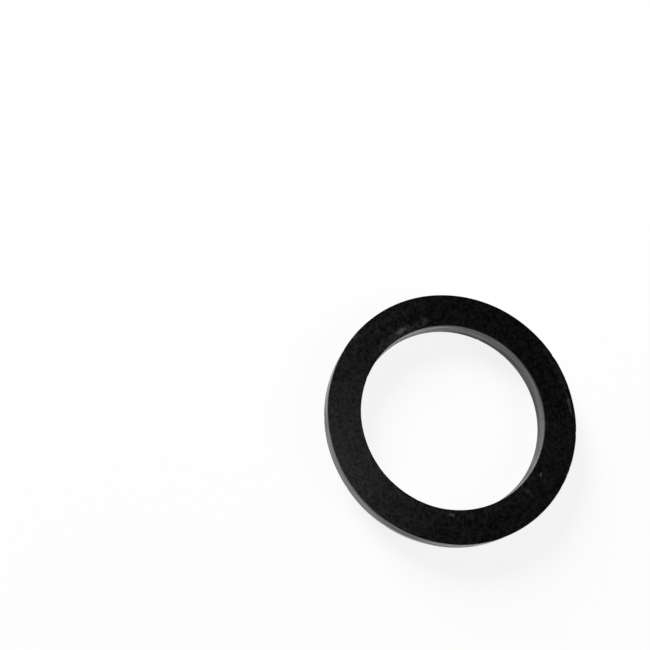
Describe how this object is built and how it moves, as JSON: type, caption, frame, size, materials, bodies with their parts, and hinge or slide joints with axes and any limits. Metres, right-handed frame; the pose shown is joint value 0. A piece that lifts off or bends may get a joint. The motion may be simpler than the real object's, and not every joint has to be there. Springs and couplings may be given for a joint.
{
  "type": "meter washer",
  "caption": "Flat black rubber ring of rectangular section with a wide bore, clamped between the faces of a meter union to seal it.",
  "frame": {"origin": "centre of the lower sealing face, on the axis of the ring", "axes": "+Z along the ring's axis, from the lower sealing face to the upper one; the ring lies flat in X and Y"},
  "size_m": [0.038, 0.038, 0.0032],
  "materials": {
    "rubber": "satin black rubber with a fine grain on the faces and faint knife lines on the rim and bore"
  },
  "bodies": {
    "root": {"washer": "rubber"}
  },
  "joints": []
}
